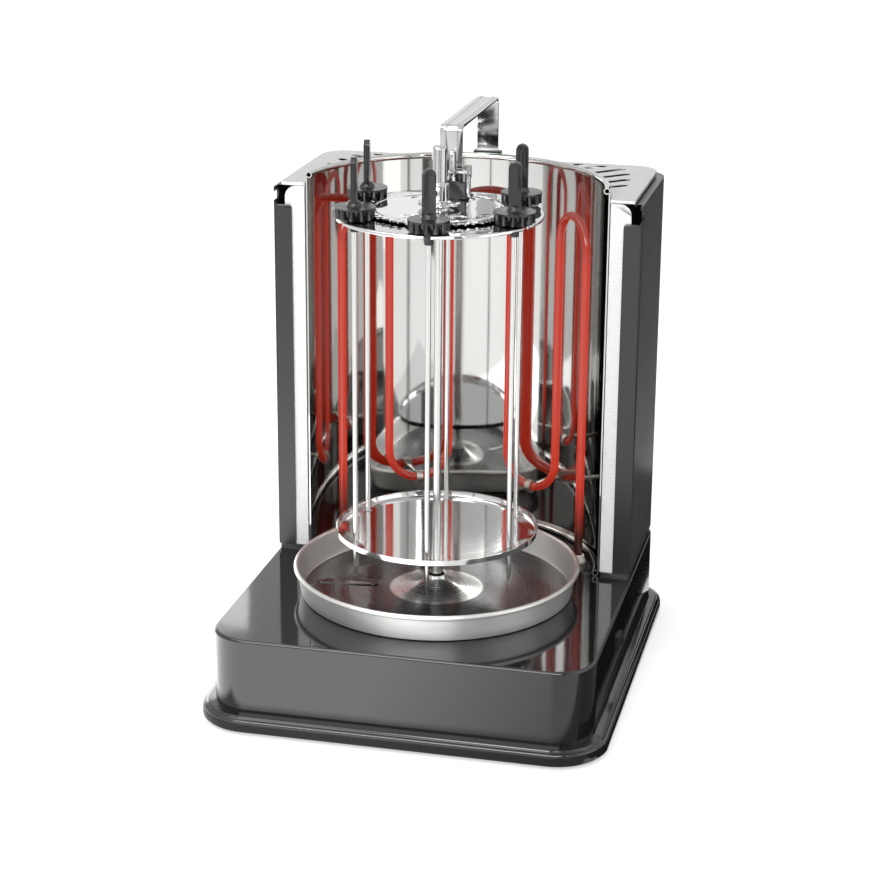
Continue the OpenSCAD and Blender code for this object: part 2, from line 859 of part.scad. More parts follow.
module arm_foot() {
  low = sun_top + 0.1;
  color("#1e1e1e") translate([clip_x, arm_front, 0]) {
    translate([0, 0, low]) linear_extrude(clip_low - low) rrect(13.6, 12, 1.5);
    translate([0, 0, sun_z]) cylinder(h = 4, r = 2.5);
  }
}

module arm_pin() {
  low = clip_low + 5.6;
  color("#e0e0e0") translate([1.7, arm_front - 4, 0]) rotate_extrude()
    polygon([
      [0, low], [2.4, low], [2.4, pin_top - 2.4], [2, pin_top - 1], [1.2, pin_top - 0.2],
      [0, pin_top]
    ]);
}

module arm_socket() {
  y = arm_rear + arm_t / 2;
  half = arm_t / 2 + 0.2;
  color("#181818")
  difference() {
    union() {
      box([-11, y - half - 1.8, 346], [11, y + half + 3, socket_top]);
      box([-13, y - half - 1.8, vent_z], [13, y + half + 5, vent_z + 3]);
    }
    // Slot that the rear leg slides in
    box([-arm_w / 2 - 0.2, y - half, 340], [arm_w / 2 + 0.2, y + half, 400]);
  }
}

// ---- Parts ----

base_plinth();
base_housing();
bottom_cover();
foot(0);  // foot_1
foot(1);  // foot_2
foot(2);  // foot_3
foot(3);  // foot_4
switch_bezel();
switch_rocker();
drive_motor();
motor_bracket();
spindle_bearing();
terminal_block();
thermal_cutout();
cable_gland();
column_base();
rear_casing();
side_panel_left();
side_panel_right();
front_flange_left();
front_flange_right();
reflector();
top_vent_plate();
heater();
heater_ferrule_left();
heater_ferrule_right();
heater_clip_left();
heater_clip_right();
arm_socket();
drip_tray();
sun_gear();
drive_spindle();
centre_shaft();
lower_plate();
carrier_disc();
hub_spacer();
hub_cap();
skewer(0);  // skewer_1
skewer(1);  // skewer_2
skewer(2);  // skewer_3
skewer(3);  // skewer_4
skewer(4);  // skewer_5
skewer(5);  // skewer_6
pinion(0);  // pinion_1
pinion(1);  // pinion_2
pinion(2);  // pinion_3
pinion(3);  // pinion_4
pinion(4);  // pinion_5
pinion(5);  // pinion_6
arm_strap();
arm_clip();
arm_foot();
arm_pin();
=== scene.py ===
"""Electric skewer grill, dressed for its photograph: finishes and fine pieces round its solids."""

import json
import math

import bmesh
import bpy
from mathutils import Matrix, Vector


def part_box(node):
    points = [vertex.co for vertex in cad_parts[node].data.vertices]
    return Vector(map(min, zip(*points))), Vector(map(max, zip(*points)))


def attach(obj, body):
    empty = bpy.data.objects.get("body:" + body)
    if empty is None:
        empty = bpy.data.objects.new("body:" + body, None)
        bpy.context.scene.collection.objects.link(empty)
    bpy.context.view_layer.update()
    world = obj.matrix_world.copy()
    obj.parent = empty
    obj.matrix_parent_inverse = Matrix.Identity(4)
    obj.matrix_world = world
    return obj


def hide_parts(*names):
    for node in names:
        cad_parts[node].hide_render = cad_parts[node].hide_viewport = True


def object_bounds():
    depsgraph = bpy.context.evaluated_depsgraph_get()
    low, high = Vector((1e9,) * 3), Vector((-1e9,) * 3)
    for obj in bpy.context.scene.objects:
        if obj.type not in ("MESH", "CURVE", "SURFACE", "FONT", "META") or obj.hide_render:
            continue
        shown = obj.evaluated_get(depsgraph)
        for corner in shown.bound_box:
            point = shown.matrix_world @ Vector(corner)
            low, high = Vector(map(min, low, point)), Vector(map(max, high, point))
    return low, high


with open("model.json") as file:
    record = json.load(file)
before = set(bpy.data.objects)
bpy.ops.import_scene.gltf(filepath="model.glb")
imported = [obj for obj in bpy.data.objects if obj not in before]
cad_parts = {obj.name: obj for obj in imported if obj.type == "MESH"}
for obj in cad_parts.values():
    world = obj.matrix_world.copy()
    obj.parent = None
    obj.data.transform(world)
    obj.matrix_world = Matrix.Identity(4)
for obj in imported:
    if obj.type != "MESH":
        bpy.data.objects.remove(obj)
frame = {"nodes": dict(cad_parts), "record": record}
cad_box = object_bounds()


# ---- Camera ----
# A long lens in front of the grill and to its right, above the table and tilted down.
# Its place and angles come from the lines of the base, the column and the tray.
scene = bpy.context.scene
camera_place = Vector((0.3732, -1.6190, 0.7400))
camera_turn = math.radians(13.27)
camera_tilt = math.radians(18.33)
camera_roll = math.radians(0.38)

camera_data = bpy.data.cameras.new("camera")
camera_data.lens = 93.3
camera_data.sensor_width = 36
camera_data.clip_end = 50
camera = bpy.data.objects.new("camera", camera_data)
camera.matrix_world = (
    Matrix.Translation(camera_place)
    @ Matrix.Rotation(camera_turn, 4, "Z")
    @ Matrix.Rotation(math.pi / 2 - camera_tilt, 4, "X")
    @ Matrix.Rotation(camera_roll, 4, "Z")
)
scene.collection.objects.link(camera)
scene.camera = camera
scene.view_settings.view_transform = "Standard"


# ---- Studio ----
# White paper under and behind the grill, a broad softbox above it at the left and a wide
# one high in front. Black, grey and shining cards round it show only as reflections, and
# give gloss and metal the dark and bright parts that they have in the photograph.
def linear(hex_colour):
    """The linear colour of an sRGB hex value such as "c8102e"."""
    channels = [int(hex_colour[i:i + 2], 16) / 255 for i in (0, 2, 4)]
    return (*(c / 12.92 if c <= 0.04045 else ((c + 0.055) / 1.055) ** 2.4 for c in channels), 1)


def add(tree, kind, inputs=None, **settings):
    """Adds a shader node; each input gets a number, a colour or the socket that feeds it."""
    made = tree.nodes.new("ShaderNode" + kind)
    for name, value in settings.items():
        setattr(made, name, value)
    for name, value in (inputs or {}).items():
        if isinstance(value, bpy.types.NodeSocket):
            tree.links.new(value, made.inputs[name])
        else:
            made.inputs[name].default_value = value
    return made


def blank_material(name):
    """A material with an empty node tree."""
    material = bpy.data.materials.new(name)
    material.use_nodes = True
    material.node_tree.nodes.clear()
    return material, material.node_tree


def link_object(name, mesh):
    """Makes a bmesh an object of the scene and frees it."""
    data = bpy.data.meshes.new(name)
    mesh.to_mesh(data)
    mesh.free()
    made = bpy.data.objects.new(name, data)
    scene.collection.objects.link(made)
    return made


# The camera and everything that mirrors see a white room; matt surfaces get a dimmer fill
world = bpy.data.worlds.new("studio")
world.use_nodes = True
scene.world = world
air = world.node_tree
air.nodes.clear()
ray = add(air, "LightPath")
mirrored = add(
    air, "Math", {0: ray.outputs["Is Glossy Ray"], 1: ray.outputs["Is Transmission Ray"]},
    operation="MAXIMUM",
)
shown = add(
    air, "Math", {0: ray.outputs["Is Camera Ray"], 1: mirrored.outputs[0]}, operation="MAXIMUM"
)
fill_light = add(air, "Background", {"Color": linear("ffffff"), "Strength": 0.55})
white_room = add(air, "Background", {"Color": linear("ffffff"), "Strength": 1.0})
room = add(
    air, "MixShader", {0: shown.outputs[0], 1: fill_light.outputs[0], 2: white_room.outputs[0]}
)
add(air, "OutputWorld", {"Surface": room.outputs[0]})

# The paper keeps the grill's shadow; a faint light of its own brings it up to white for the
# camera and in reflections. From below it is clear, so that the underside of the grill shows
floor_reach = 4.0
floor_mesh = bmesh.new()
bmesh.ops.create_grid(floor_mesh, x_segments=1, y_segments=1, size=floor_reach)
floor = link_object("floor", floor_mesh)
paper, tree = blank_material("white_paper")
ray = add(tree, "LightPath")
seen = add(
    tree, "Math", {0: ray.outputs["Is Camera Ray"], 1: ray.outputs["Is Glossy Ray"]},
    operation="MAXIMUM",
)
backlight = add(
    tree, "MapRange", {"Value": seen.outputs[0], "To Min": 0.1, "To Max": 0.5}
)
from_above = add(
    tree, "BsdfPrincipled",
    {"Base Color": linear("f0f0f0"), "Roughness": 0.9, "Emission Color": linear("ffffff"),
     "Emission Strength": backlight.outputs[0]},
)
from_below = add(tree, "BsdfTransparent")
underneath = add(tree, "NewGeometry").outputs["Backfacing"]
paper_sides = add(
    tree, "MixShader", {0: underneath, 1: from_above.outputs[0], 2: from_below.outputs[0]}
)
add(tree, "OutputMaterial", {"Surface": paper_sides.outputs[0]})
floor.data.materials.append(paper)

# Cards on the table lie between these heights, and those in front of the grill meet those
# beside it along this line, just under the front edge of the foot
card_bottom = 0.0005
card_top = 0.001
card_line = -0.165


def add_card(name, low, high, material):
    """A card of the studio, between two corners, that only shows as a reflection."""
    mesh = bmesh.new()
    bmesh.ops.create_cube(mesh, size=1.0)
    size = Vector(high) - Vector(low)
    bmesh.ops.scale(mesh, verts=mesh.verts, vec=size)
    bmesh.ops.translate(mesh, verts=mesh.verts, vec=(Vector(high) + Vector(low)) / 2)
    card = link_object(name, mesh)
    card.data.materials.append(material)
    card.visible_camera = False
    card.visible_diffuse = False
    card.visible_shadow = False
    card.visible_transmission = False


def add_table_card(name, low, high, material):
    """A card that lies on the table."""
    add_card(name, (*low, card_bottom), (*high, card_top), material)


black_card, tree = blank_material("black_card")
felt = add(tree, "BsdfDiffuse", {"Color": linear("0a0a0a")})
add(tree, "OutputMaterial", {"Surface": felt.outputs[0]})
# On the table at the right, up to the foot: the black walls on that side mirror it
add_table_card("near_right_card", (0.156, card_line), (0.2, 0.5), black_card)
# Behind at the right: the right end of the base's top mirrors it
add_card("back_right_card", (0.16, 1.2, 0.2), (1.3, 1.201, 0.56), black_card)


def glow_card(name, strength):
    """A card's material that shines evenly."""
    material, tree = blank_material(name)
    shine = add(tree, "Emission", {"Color": linear("ffffff"), "Strength": strength})
    add(tree, "OutputMaterial", {"Surface": shine.outputs[0]})
    return material


# Dim paper on the table at the right and upright in front: the column's right wall mirrors
# the first, and the second is a darker band in the bright metal
grey_card = glow_card("grey_card", 0.14)
add_table_card("far_right_card", (0.2, card_line), (2.5, 3.6), grey_card)
add_card("right_upright_card", (0.5, -0.95, 0.0), (0.74, -0.949, 1.1), grey_card)
# Behind at the left: the left end of the base's top mirrors it
back_card = glow_card("back_card", 3.8)
add_card("back_left_card", (-1.3, 0.8, 0.0), (-0.43, 0.801, 0.5), back_card)
# High in front: the beads of the foot and the edges of the base mirror it as thin lines
edge_card = glow_card("edge_card", 12.0)
add_card("edge_card", (-1.4, -1.9, 1.1), (1.6, -1.899, 1.75), edge_card)
# Upright at the right: a bright patch on the tray's wall
side_card = glow_card("side_card", 2.0)
add_card("side_card", (1.1, -0.75, 0.0), (1.101, 0.1, 1.2), side_card)
# On the table in front and at the left: the base mirrors it, brighter towards the left and
# fading near the foot
light_card, tree = blank_material("light_card")
across = add(tree, "SeparateXYZ", {0: add(tree, "TexCoord").outputs["Object"]})
falloff = add(
    tree, "MapRange",
    {"Value": across.outputs["X"], "From Min": -0.04, "From Max": 0.13,
     "To Min": 3.4, "To Max": 1.2},
)
before_foot = add(
    tree, "Math", {0: across.outputs["Y"], 1: -1.0, 2: cad_box[0].y}, operation="MULTIPLY_ADD"
)
beside_foot = add(
    tree, "Math", {0: across.outputs["X"], 1: -1.0, 2: cad_box[0].x}, operation="MULTIPLY_ADD"
)
distance = add(
    tree, "Math", {0: before_foot.outputs[0], 1: beside_foot.outputs[0]}, operation="MAXIMUM"
)
fade = add(
    tree, "MapRange",
    {"Value": distance.outputs[0], "From Min": 0.02, "From Max": 0.035,
     "To Min": 0.2, "To Max": 1.0},
)
card_strength = add(
    tree, "Math", {0: falloff.outputs[0], 1: fade.outputs[0]}, operation="MULTIPLY"
)
glow = add(tree, "Emission", {"Color": linear("ffffff"), "Strength": card_strength.outputs[0]})
add(tree, "OutputMaterial", {"Surface": glow.outputs[0]})
add_table_card("front_table_card", (-0.6, -0.5), (0.45, card_line), light_card)
add_table_card("left_table_card", (-0.34, card_line), (-0.147, 0.3), light_card)


def add_softbox(name, place, size, watts):
    """A rectangular softbox that faces the middle of the grill."""
    grill_middle = Vector((0, 0, 0.2))
    data = bpy.data.lights.new(name, "AREA")
    data.shape = "RECTANGLE"
    data.size, data.size_y = size
    data.energy = watts
    lamp = bpy.data.objects.new(name, data)
    lamp.location = place
    aim = grill_middle - Vector(place)
    lamp.rotation_euler = aim.to_track_quat("-Z", "Y").to_euler()
    scene.collection.objects.link(lamp)


add_softbox("top_softbox", place=(-0.7, -0.5, 1.9), size=(1.6, 1.2), watts=16)
add_softbox("front_softbox", place=(0.1, -2.0, 1.5), size=(1.6, 0.8), watts=20)


# ---- Base housing ----
# The top cover of the base: injection-moulded ABS, piano black, polished in the mould.
# It shows deep reflections with a very slight waviness, and hardly any grain.
body_of = {
    name: body
    for body, names in frame["record"]["behaviour"]["bodies"].items()
    for name in names
}
# Most of a noise pattern lies between these two values
noise_low = 0.3
noise_high = 0.7


def place_of(tree):
    """The point on the piece, in metres."""
    return add(tree, "TexCoord").outputs["Object"]


def gloss_abs(name, hex_colour, roughness):
    """Glossy moulded ABS: soft flow waves, and fine wiping marks in its polish."""
    flow_wave_mm = 40
    wave_depth_mm = 0.4
    # Real wiping marks are hair-fine; they are drawn as coarse as they need to show
    wipe_mm = 1.2
    material, tree = blank_material(name)
    place = place_of(tree)
    waves = add(
        tree, "TexNoise", {"Vector": place, "Scale": 1000 / flow_wave_mm, "Detail": 1.0}
    )
    wipes = add(
        tree, "TexNoise",
        {"Vector": place, "Scale": 1000 / wipe_mm, "Detail": 4.0, "Distortion": 0.6},
    )
    polish = add(
        tree, "MapRange",
        {"Value": wipes.outputs[0], "From Min": noise_low, "From Max": noise_high,
         "To Min": roughness * 0.7, "To Max": roughness * 1.5},
    )
    relief = add(
        tree, "Bump",
        {"Height": waves.outputs[0], "Strength": 0.25, "Distance": wave_depth_mm / 1000},
    )
    look = add(
        tree, "BsdfPrincipled",
        {"Base Color": linear(hex_colour), "Roughness": polish.outputs[0], "IOR": 1.54,
         "Normal": relief.outputs[0]},
    )
    add(tree, "OutputMaterial", {"Surface": look.outputs[0]})
    return material


def finish(mesh, name, material, body, crease=30):
    """Makes a mesh a piece on a body, smooth but for edges past the crease, in degrees."""
    for face in mesh.faces:
        face.smooth = True
    piece = link_object(name, mesh)
    piece.data.materials.append(material)
    piece.data.set_sharp_from_angle(angle=math.radians(crease))
    even = piece.modifiers.new("even_shading", "WEIGHTED_NORMAL")
    even.keep_sharp = True
    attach(piece, body)
    return piece


def merged_copy(name):
    """The mesh of a CAD node with its loose triangles joined."""
    mesh = bmesh.new()
    mesh.from_mesh(frame["nodes"][name].data)
    bmesh.ops.remove_doubles(mesh, verts=mesh.verts, dist=2e-6)
    bmesh.ops.dissolve_degenerate(mesh, edges=mesh.edges, dist=1e-6)
    return mesh


def finish_node(name, material, crease=30, mesh=None):
    """Finishes a CAD node, on a merged copy or on a mesh of the scene's own in its place."""
    mesh = mesh or merged_copy(name)
    piece = finish(mesh, name + "_finished", material, body_of[name], crease)
    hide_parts(name)


piano_black_abs = gloss_abs("piano_black_abs", "1c1c1d", 0.06)
finish_node("base_housing", piano_black_abs)


# ---- Foot moulding ----
# A stepped skirt with two beads under the housing, moulded in the same black ABS but
# left a little duller by its coarser mould.
skirt_abs = gloss_abs("skirt_abs", "202021", 0.1)
finish_node("base_plinth", skirt_abs)


# ---- Bottom cover, feet and cable gland ----
# The plate with air slots that closes the base from below, its four feet, and the gland at
# the back. Polypropylene from a spark-eroded mould has an even, fine grain and no clear
# reflections; the soft rubber of the feet is duller still.
def moulded_plastic(name, hex_colour, roughness, grit_mm=0.6):
    """Moulded plastic or rubber with an even skin; its real grit is finer than it is drawn."""
    grit_depth_mm = 0.03
    blotch_mm = 30
    unevenness = 0.06
    material, tree = blank_material(name)
    place = place_of(tree)
    grain = add(
        tree, "TexNoise", {"Vector": place, "Scale": 1000 / grit_mm, "Detail": 2.0}
    )
    blotch = add(tree, "TexNoise", {"Vector": place, "Scale": 1000 / blotch_mm, "Detail": 2.0})
    dull = add(
        tree, "MapRange",
        {"Value": blotch.outputs[0], "From Min": noise_low, "From Max": noise_high,
         "To Min": roughness - unevenness, "To Max": roughness + unevenness},
    )
    relief = add(
        tree, "Bump",
        {"Height": grain.outputs[0], "Strength": 0.4, "Distance": grit_depth_mm / 1000},
    )
    look = add(
        tree, "BsdfPrincipled",
        {"Base Color": linear(hex_colour), "Roughness": dull.outputs[0], "IOR": 1.5,
         "Normal": relief.outputs[0]},
    )
    add(tree, "OutputMaterial", {"Surface": look.outputs[0]})
    return material


textured_polypropylene = moulded_plastic("textured_polypropylene", "2b2b2b", 0.55)
finish_node("bottom_cover", textured_polypropylene)
foot_rubber = moulded_plastic("foot_rubber", "1f1f1f", 0.75, grit_mm=0.9)
for number in range(1, 5):
    finish_node(f"foot_{number}", foot_rubber)
finish_node("cable_gland", textured_polypropylene)


# ---- Rocker switch ----
# A miniature rocker in a bezel that snaps into the right wall of the base. Both are
# moulded in black nylon, smoother than the bottom cover, with a soft sheen.
switch_nylon = moulded_plastic("switch_nylon", "161616", 0.38)
finish_node("switch_bezel", switch_nylon)
finish_node("switch_rocker", switch_nylon)


# ---- Drive ----
# A gearmotor in a zinc-plated can under the carousel, with its bracket, and the bronze
# bearing pressed into the base's top. Zinc plate is pale with a soft sheen; sintered
# bronze is warm and nearly matt.
def metal_finish(name, hex_colour, roughness, streak_mm=0.5, along="z", depth_mm=0.004, spread=0.0):
    """Worked metal; the marks of its rolling, drawing or brushing run along one axis.

    Real marks are under a tenth of a millimetre wide; they are drawn as coarse as they
    need to show. Spread draws the highlights out across them.
    """
    mark_length = 50
    quarter_turn = 0.25
    material, tree = blank_material(name)
    per_metre = 1000 / streak_mm
    stretch = [per_metre] * 3
    stretch["xyz".index(along)] = per_metre / mark_length
    drawn = add(tree, "Mapping", {"Vector": place_of(tree), "Scale": stretch})
    streaks = add(
        tree, "TexNoise", {"Vector": drawn.outputs[0], "Scale": 1.0, "Detail": 3.0}
    )
    polish = add(
        tree, "MapRange",
        {"Value": streaks.outputs[0], "From Min": noise_low, "From Max": noise_high,
         "To Min": roughness * 0.7, "To Max": roughness * 1.4},
    )
    relief = add(
        tree, "Bump",
        {"Height": streaks.outputs[0], "Strength": 0.5, "Distance": depth_mm / 1000},
    )
    grain = add(tree, "CombineXYZ", {"XYZ".index(along.upper()): 1.0})
    look = add(
        tree, "BsdfPrincipled",
        {"Base Color": linear(hex_colour), "Metallic": 1.0, "Roughness": polish.outputs[0],
         "Anisotropic": spread, "Anisotropic Rotation": quarter_turn,
         "Tangent": grain.outputs[0], "Normal": relief.outputs[0]},
    )
    add(tree, "OutputMaterial", {"Surface": look.outputs[0]})
    return material


zinc_plate = metal_finish("zinc_plate", "a4a49c", 0.35)
finish_node("drive_motor", zinc_plate)
finish_node("motor_bracket", zinc_plate)
sintered_bronze = metal_finish("sintered_bronze", "b08850", 0.42, along="x")
finish_node("spindle_bearing", sintered_bronze)


# ---- Ceramic pieces ----
# The terminal block and the thermal cut-out inside the base, and the two ferrules that
# carry the heater's ends through its top: steatite, fired without a glaze, matt and cream.
steatite = moulded_plastic("steatite", "d8d2c4", 0.6)
for name in ("terminal_block", "thermal_cutout", "heater_ferrule_left", "heater_ferrule_right"):
    finish_node(name, steatite)


# ---- Column panels ----
# Folded sheet steel in black stove enamel: side panels with a hemmed top and a front
# return, and the rear casing with its louvres, on a moulded frame. The enamel is satin,
# with soft, broad reflections.
def stove_enamel(name, hex_colour, roughness):
    """Baked enamel on sheet steel, with a faint orange peel."""
    peel_mm = 1.8
    peel_depth_mm = 0.03
    cloud_mm = 70
    unevenness = 0.02
    material, tree = blank_material(name)
    place = place_of(tree)
    peel = add(tree, "TexNoise", {"Vector": place, "Scale": 1000 / peel_mm, "Detail": 2.0})
    cloud = add(tree, "TexNoise", {"Vector": place, "Scale": 1000 / cloud_mm, "Detail": 2.0})
    shade = add(
        tree, "MapRange",
        {"Value": cloud.outputs[0], "From Min": noise_low, "From Max": noise_high,
         "To Min": roughness - unevenness, "To Max": roughness + unevenness},
    )
    relief = add(
        tree, "Bump",
        {"Height": peel.outputs[0], "Strength": 0.3, "Distance": peel_depth_mm / 1000},
    )
    look = add(
        tree, "BsdfPrincipled",
        {"Base Color": linear(hex_colour), "Roughness": shade.outputs[0], "IOR": 1.5,
         "Normal": relief.outputs[0]},
    )
    add(tree, "OutputMaterial", {"Surface": look.outputs[0]})
    return material


satin_black_enamel = stove_enamel("satin_black_enamel", "191a1b", 0.3)
# The hems, all that reaches as high as the flanges' top, lie this far below it under the lid
hem_drop = 0.0031
hem_reach = 0.0005
flange_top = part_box("front_flange_right")[1].z
for name in ("side_panel_left", "side_panel_right", "rear_casing"):
    panel = merged_copy(name)
    hem = [vert for vert in panel.verts if vert.co.z > flange_top - hem_reach]
    bmesh.ops.translate(panel, verts=hem, vec=(0, 0, -hem_drop))
    finish_node(name, satin_black_enamel, mesh=panel)
finish_node("column_base", textured_polypropylene)


# ---- Casing and cover screws ----
# Zinc-plated pan-head screws with a round recess. Six hold the rear casing to the frame,
# and four the bottom cover to the housing.
def add_screw(mesh, place, axis):
    """A pan-head screw that stands on a surface, along an axis."""
    radius = 0.0031
    height = 0.0016
    recess_wall = radius * 0.55
    recess_depth = height * 0.6
    round_over = height * 0.5
    upright = Vector((0, 0, 1)).rotation_difference(Vector(axis)).to_matrix().to_4x4()
    head = bmesh.ops.create_cone(
        mesh, cap_ends=True, segments=24, radius1=radius, radius2=radius, depth=height,
        matrix=Matrix.Translation(place) @ upright @ Matrix.Translation((0, 0, height / 2)),
    )
    faces = [face for vert in head["verts"] for face in vert.link_faces]
    top = max(faces, key=lambda face: face.calc_center_median().dot(Vector(axis)))
    rim = list(top.edges)
    bmesh.ops.inset_individual(mesh, faces=[top], thickness=recess_wall)
    bmesh.ops.translate(mesh, verts=top.verts, vec=Vector(axis) * -recess_depth)
    bmesh.ops.bevel(
        mesh, geom=rim, offset=round_over, segments=4, profile=0.5, affect="EDGES", material=-1
    )


screw_sink = 0.0001
casing_low, casing_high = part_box("rear_casing")
casing_screw_x = 0.108
casing_screw_heights = (
    casing_low.z + 0.008, (casing_low.z + casing_high.z) / 2, casing_high.z - 0.012
)
screws = bmesh.new()
for side in (-1, 1):
    for height in casing_screw_heights:
        add_screw(screws, (side * casing_screw_x, casing_high.y - screw_sink, height), (0, 1, 0))
finish(screws, "casing_screws", zinc_plate, "stand")

cover_low, cover_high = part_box("bottom_cover")
cover_screw_x = cover_high.x - 0.012
cover_screw_inset = 0.05
screws = bmesh.new()
for side in (-1, 1):
    for y in (cover_low.y + cover_screw_inset, cover_high.y - cover_screw_inset):
        add_screw(screws, (side * cover_screw_x, y, cover_low.z + screw_sink), (0, 0, -1))
finish(screws, "cover_screws", zinc_plate, "stand")


# ---- Front flanges ----
# Bright strips of rolled steel beside the reflector, with a satin skin that mirrors only
# broad light and shade.
bright_rolled_steel = metal_finish(
    "bright_rolled_steel", "b2b2b2", 0.6, along="x", depth_mm=0.001, spread=0.5
)
# The outer edge ends before the panel's round corner relief, which stays open
relief_gap = 0.007
flange_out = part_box("front_flange_right")[1].x
outer_edge_width = 0.0091
for side, name in ((-1, "front_flange_left"), (1, "front_flange_right")):
    flange = merged_copy(name)
    outer = [vert for vert in flange.verts if abs(vert.co.x) > flange_out - outer_edge_width]
    bmesh.ops.translate(flange, verts=outer, vec=(-side * relief_gap, 0, 0))
    finish_node(name, bright_rolled_steel, mesh=flange)


# ---- Vent lid ----
# A lid of brushed stainless sheet closes the column behind the reflector. It is blanked
# with slanting air slots in its corners, folded down at the edge and rolled along its short
# front edges; the brushing blurs what it mirrors and draws it out.
def arc(centre, radius, start, end, steps):
    """Points along an arc, with its angles in degrees."""
    angles = [math.radians(start + (end - start) * i / steps) for i in range(steps + 1)]
    return [(centre[0] + radius * math.cos(a), centre[1] + radius * math.sin(a)) for a in angles]


def blank(mesh, outlines, low, high):
    """Adds sheet cut to flat outlines, the rim first and then its holes, with a softened edge."""
    softening = 0.0001
    flat = bpy.data.curves.new("blank", "CURVE")
    flat.dimensions = "2D"
    flat.fill_mode = "BOTH"
    flat.extrude = (high - low) / 2 - softening
    flat.bevel_depth = softening
    flat.bevel_resolution = 1
    flat.offset = -softening
    for outline in outlines:
        spline = flat.splines.new("POLY")
        spline.points.add(len(outline) - 1)
        spline.use_cyclic_u = True
        for point, (x, y) in zip(spline.points, outline):
            point.co = (x, y, (low + high) / 2, 1)
    shape = bpy.data.objects.new("blank", flat)
    scene.collection.objects.link(shape)
    cut = shape.evaluated_get(bpy.context.evaluated_depsgraph_get())
    mesh.from_mesh(cut.to_mesh())
    bpy.data.objects.remove(shape)
    bmesh.ops.remove_doubles(mesh, verts=mesh.verts, dist=1e-6)


# The lid lies just over the flanges and reaches from their front nearly to the casing's back
lid_low = flange_top + 0.0003
lid_high = lid_low + 0.0027
lid_sheet = 0.0005
panel_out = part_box("side_panel_right")[1].x
lid_half = panel_out - 0.006
lid_back = casing_high.y - 0.003
lid_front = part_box("front_flange_right")[0].y - 0.0002
lid_corner = 0.019
# Its bay clears the reflector, whose curve has its middle at mirror_y, and the notch in the
# bay clears the arm's socket
mirror_low, mirror_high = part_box("reflector")
mirror_out = mirror_high.x + 0.0004
mirror_y = mirror_high.y - mirror_high.x
socket_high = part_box("arm_socket")[1]
notch_half = socket_high.x + 0.0003
notch_back = socket_high.y + 0.0003


def lid_outline(inset):
    """The outline of the lid, drawn in from its edges by a distance."""
    corner_steps = 10
    bay_steps = 40
    half = lid_half - inset
    back = lid_back - inset
    front = lid_front + inset
    corner = lid_corner - inset
    bay = mirror_out + inset
    notch = notch_half + inset
    front_angle = math.degrees(math.asin((front - mirror_y) / bay))
    notch_angle = math.degrees(math.acos(notch / bay))
    outline = [(half, front)]
    outline += arc((half - corner, back - corner), corner, 0, 90, corner_steps)
    outline += arc((corner - half, back - corner), corner, 90, 180, corner_steps)
    outline += [(-half, front)]
    outline += arc((0, mirror_y), bay, 180 - front_angle, 180 - notch_angle, bay_steps)
    outline += [(-notch, notch_back + inset), (notch, notch_back + inset)]
    outline += arc((0, mirror_y), bay, notch_angle, front_angle, bay_steps)
    return outline


# The middle of each slot on the right and its length, from the back corner to the front
slots = [
    (0.0726, 0.1495, 0.010), (0.0875, 0.1420, 0.023), (0.1000, 0.1300, 0.034),
    (0.1075, 0.1125, 0.031), (0.1130, 0.0940, 0.025), (0.1175, 0.0755, 0.016),
]
slot_turn = 44
slot_half_width = 0.0032
slot_end_steps = 6
along = Vector((math.cos(math.radians(slot_turn)), math.sin(math.radians(slot_turn))))
holes = []
for x, y, length in slots:
    reach = length / 2 - slot_half_width
    far = Vector((x, y)) + along * reach
    near = Vector((x, y)) - along * reach
    hole = arc(far, slot_half_width, slot_turn - 90, slot_turn + 90, slot_end_steps)
    hole += arc(near, slot_half_width, slot_turn + 90, slot_turn + 270, slot_end_steps)
    holes += [hole, [(-px, py) for px, py in hole]]
lid = bmesh.new()
blank(lid, [lid_outline(0)] + holes, lid_high - lid_sheet, lid_high)
# The folded-down edge
fold_outside = 0.0001
fold_inside = 0.001
fold = [lid_outline(fold_outside), lid_outline(fold_inside)]
blank(lid, fold, lid_low, lid_high - lid_sheet / 2)
# The rolls of the front edges
roll_radius = (lid_high - lid_low) / 2
roll_length = lid_half - mirror_out - 0.002
for side in (-1, 1):
    roll_middle = (side * (lid_half + mirror_out) / 2, lid_front, lid_low + roll_radius)
    bmesh.ops.create_cone(
        lid, cap_ends=True, segments=20, radius1=roll_radius, radius2=roll_radius,
        depth=roll_length,
        matrix=Matrix.Translation(roll_middle) @ Matrix.Rotation(math.pi / 2, 4, "Y"),
    )
brushed_steel = metal_finish("brushed_steel", "b8b8b8", 0.36, along="x", spread=0.5)
finish_node("top_vent_plate", brushed_steel, mesh=lid)


# ---- Reflector ----
# A half round of stainless sheet with hollow rims rolled along its top and bottom. Its
# mirror polish gives clear images, drawn out up and down; one profile is turned here in
# fine steps, so that they run on smoothly.
mirror_stainless = metal_finish(
    "mirror_stainless", "bcbcba", 0.05, streak_mm=2.0, along="z", depth_mm=0.0006, spread=0.6
)
mirror_sheet = 0.001
rim_radius = 0.0025
rim_wall = 0.0008
rim_x = mirror_high.x - rim_radius
end_angle = math.asin((mirror_low.y - mirror_y) / (mirror_high.x - 2 * rim_radius))
rim_heights = (mirror_low.z + rim_radius, mirror_high.z - rim_radius)
mirror = bmesh.new()
inside = mirror_high.x - mirror_sheet
outside = mirror_high.x
corners = [
    mirror.verts.new((x, mirror_y, z))
    for x, z in ((inside, rim_heights[0]), (outside, rim_heights[0]),
                 (outside, rim_heights[1]), (inside, rim_heights[1]))
]
mirror.faces.new(corners)
